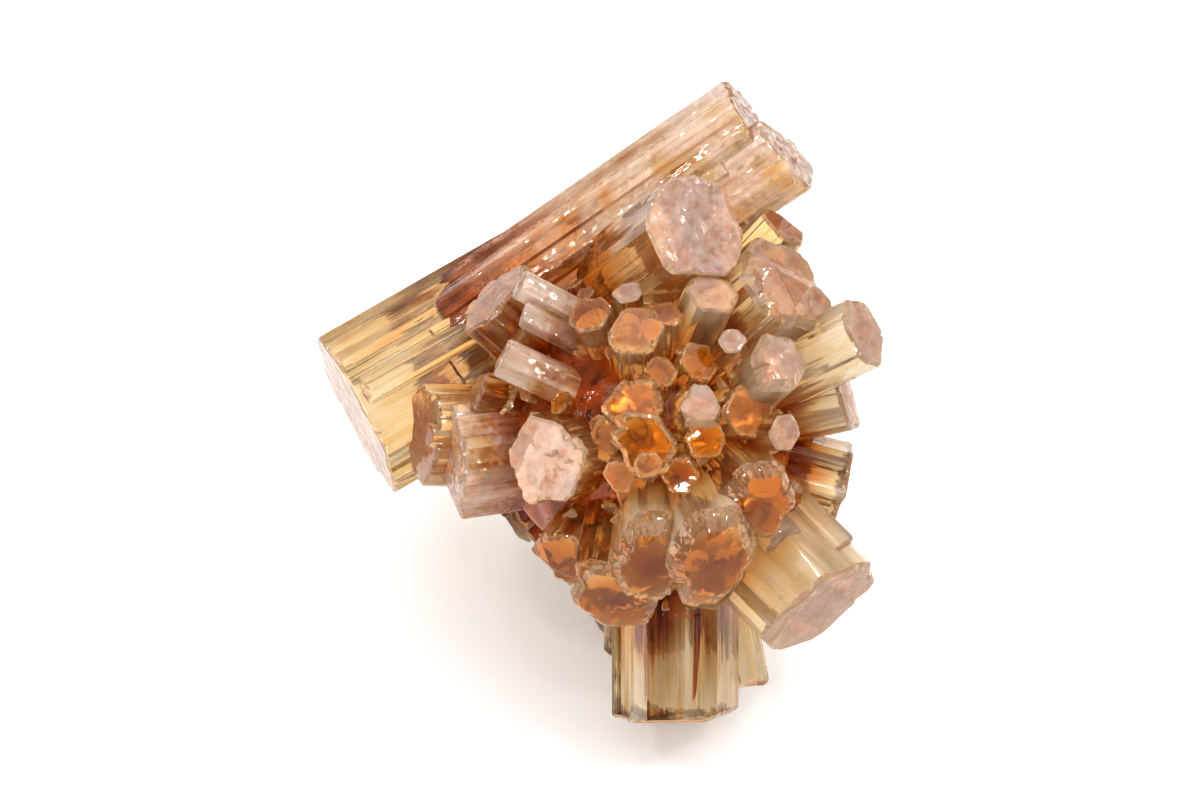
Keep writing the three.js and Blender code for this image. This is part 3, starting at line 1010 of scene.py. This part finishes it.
# each small growth facet leans its own way
grainLean = 0
for name, source in (("worn", wornRimAndHighlightAt), ("dust", dust), ("frost", frostAt)):
    grainLean = addNode(tree, "Math", timesPlus, {0: source, 1: aragonite["lean"][name], 2: grainLean})
lean = addNode(tree, "Mix", None, {"Factor": grainy, 2: aragonite["sideLean"], 3: grainLean})
leaning = addNode(tree, "VectorMath", minus, {0: facetColour, 1: (0.5, 0.5, 0.5)})
leaning = addNode(tree, "VectorMath", {"operation": "SCALE"}, {0: leaning, "Scale": lean})
normal = addNode(tree, "NewGeometry").outputs["Normal"]
leaning = addNode(tree, "VectorMath", {"operation": "ADD"}, {0: normal, 1: leaning})
leaning = addNode(tree, "VectorMath", {"operation": "NORMALIZE"}, {0: leaning})
bump = addNode(tree, "Bump", None, {
    "Strength": surface["relief"], "Distance": aragonite["reliefHeight"] * mm, "Height": drawn["striae"],
    "Normal": leaning})
shader = addNode(tree, "BsdfPrincipled", None, {
    "Base Color": colour, "Roughness": surface["rough"], "Normal": bump, "IOR": aragonite["ior"],
    "Specular IOR Level": aragonite["specular"], "Transmission Weight": surface["clear"]})
inside = addNode(tree, "VolumeAbsorption", None, {
    "Color": toLinear(aragonite["absorption"]), "Density": aragonite["density"]})
addNode(tree, "OutputMaterial", None, {"Surface": shader, "Volume": inside})
stone.cycles.homogeneous_volume = True
clusterMesh.materials.append(stone)
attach(cluster, "root")
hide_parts("aragonite_cluster")
print("finish made")

# A white card table in a bright room, soft boxes above, behind and at the left, and small lamps for sparkle
stage = {"size": 2.0, "colour": "#E8E8E8", "rough": 0.9, "glow": 0.35, "room": 0.4}
tableMesh = bpy.data.meshes.new("table")
half = stage["size"] / 2
tableCorners = [(-half, -half, 0), (half, -half, 0), (half, half, 0), (-half, half, 0)]
tableMesh.from_pydata(tableCorners, [], [(0, 1, 2, 3)])
table = bpy.data.objects.new("table", tableMesh)
bpy.context.scene.collection.objects.link(table)

# White card, uncoated: matt, and lit through a little so that it fades to white
card, tree = newMaterial("matt white card")
board = addNode(tree, "BsdfPrincipled", None, {
    "Base Color": toLinear(stage["colour"]), "Roughness": stage["rough"],
    "Emission Color": toLinear(stage["colour"]), "Emission Strength": stage["glow"]})
addNode(tree, "OutputMaterial", None, {"Surface": board})
tableMesh.materials.append(card)

room = bpy.data.worlds.new("room")
room.use_nodes = True
room.node_tree.nodes["Background"].inputs["Color"].default_value = (1, 1, 1, 1)
room.node_tree.nodes["Background"].inputs["Strength"].default_value = stage["room"]
bpy.context.scene.world = room

lamps = [
    {"name": "softBoxAbove", "at": (0.15, 0, 0.65), "size": 1.0, "power": 5},
    {"name": "softBoxBehind", "at": (0, 0.75, 0.35), "size": 1.1, "power": 2.5},
    {"name": "sparkRight", "at": (0.33, -0.12, 0.5), "size": 0.05, "power": 0.35},
    {"name": "sparkFront", "at": (-0.12, -0.42, 0.5), "size": 0.05, "power": 0.3},
    {"name": "softBoxLeft", "at": (-0.5, -0.27, 0.13), "size": 0.3, "power": 1.1},
    {"name": "sparkAbove", "at": (0.02, 0.1, 0.6), "size": 0.05, "power": 0.35},
    {"name": "sparkLeft", "at": (-0.38, 0.05, 0.42), "size": 0.05, "power": 0.35},
    {"name": "sparkLow", "at": (0.3, -0.45, 0.25), "size": 0.05, "power": 0.35},
]
middle = Vector(heart * mm)
for lamp in lamps:
    light = bpy.data.lights.new(lamp["name"], "AREA")
    light.size = lamp["size"]
    light.energy = lamp["power"]
    holder = bpy.data.objects.new(lamp["name"], light)
    holder.location = lamp["at"]
    holder.rotation_euler = (middle - holder.location).to_track_quat("-Z", "Y").to_euler()
    bpy.context.scene.collection.objects.link(holder)

# The camera looks along the picture plane's normal at the middle of what shows
view = {"aim": (-3.6, 2.4, 0), "distance": 520, "frameWidth": 90, "exposure": 0.02, "gamma": 0.75}
aim = heart + upright @ np.array(view["aim"])
eye = aim + upright @ np.array([0, 0, view["distance"]])
camera = bpy.data.cameras.new("camera")
camera.lens = camera.sensor_width * view["distance"] / view["frameWidth"]
cameraHolder = bpy.data.objects.new("camera", camera)
cameraHolder.location = eye * mm
cameraHolder.rotation_euler = (math.radians(90 - growth["viewElevation"]), 0, 0)
bpy.context.scene.collection.objects.link(cameraHolder)
bpy.context.scene.camera = cameraHolder
bpy.context.scene.view_settings.view_transform = "Standard"
bpy.context.scene.view_settings.exposure = view["exposure"]
bpy.context.scene.view_settings.gamma = view["gamma"]  # a contrasty print
paths = bpy.context.scene.cycles  # light leaves a crystal within a few turns, which keeps the render short
paths.max_bounces = 7
paths.transmission_bounces = 7
paths.diffuse_bounces = 2
paths.glossy_bounces = 3
paths.use_light_tree = False
print("stage set")
